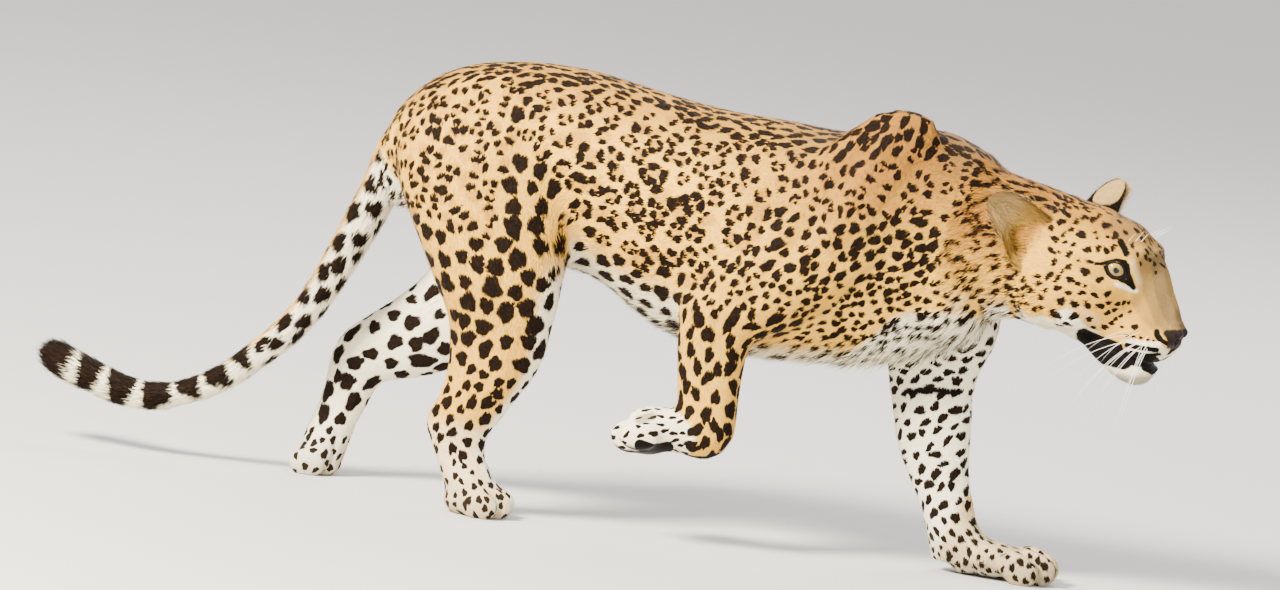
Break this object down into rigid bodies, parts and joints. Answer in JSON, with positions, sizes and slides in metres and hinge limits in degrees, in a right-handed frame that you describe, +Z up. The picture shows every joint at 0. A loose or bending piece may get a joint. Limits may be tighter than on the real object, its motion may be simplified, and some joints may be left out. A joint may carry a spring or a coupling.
{
  "type": "leopard",
  "caption": "Life-size leopard in mid stride with its head held low, a forepaw lifted and its tail hanging in a long curve; a still model with a spotted coat.",
  "frame": {"origin": "middle of the base of the model's box, on the floor", "axes": "+X towards the nose, +Y to the animal's left, +Z up"},
  "size_m": [1.6424, 0.2876, 0.651],
  "materials": {
    "coat": "short matt fur",
    "eye": "wet gloss"
  },
  "bodies": {
    "root": {"head": "coat", "lower_jaw": "coat", "ear_left": "coat", "ear_right": "coat", "eye_left": "eye", "eye_right": "eye", "neck": "coat", "chest": "coat", "belly": "coat", "hips": "coat", "forearm_left": "coat", "forearm_right": "coat", "paw_front_left": "coat", "paw_front_right": "coat", "thigh_left": "coat", "thigh_right": "coat", "shank_left": "coat", "shank_right": "coat", "paw_hind_left": "coat", "paw_hind_right": "coat", "tail_1": "coat", "tail_2": "coat", "tail_3": "coat", "tail_4": "coat"}
  },
  "joints": []
}
